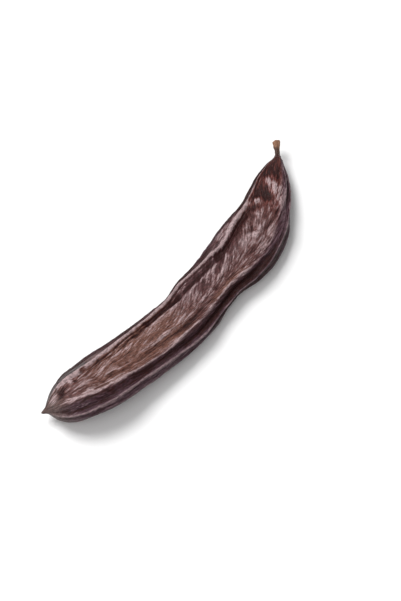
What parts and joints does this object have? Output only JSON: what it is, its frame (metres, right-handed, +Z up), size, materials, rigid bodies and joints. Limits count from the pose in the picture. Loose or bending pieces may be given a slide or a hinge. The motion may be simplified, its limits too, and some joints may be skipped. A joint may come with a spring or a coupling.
{
  "type": "carob pod",
  "caption": "Long flattened carob pod, gently curved, with sunken broad faces, thick rims, seamed edges, a pointed beak and a short stalk.",
  "frame": {"origin": "middle of the bounding box in plan, on the surface that the pod lies on", "axes": "+X from the beak to the stalk, the longest extent; +Y towards the pod's hollow edge; +Z up through the broad faces"},
  "size_m": [0.1234, 0.0292, 0.0129],
  "materials": {
    "pod_skin": "dark maroon-brown wrinkled skin, satin, with a pale pinkish-grey bloom on its ridges",
    "stalk_bark": "matt tan-brown bark with fine ribs, paler where it broke off the tree"
  },
  "bodies": {
    "root": {"pod": "pod_skin", "stalk": "stalk_bark"}
  },
  "joints": []
}
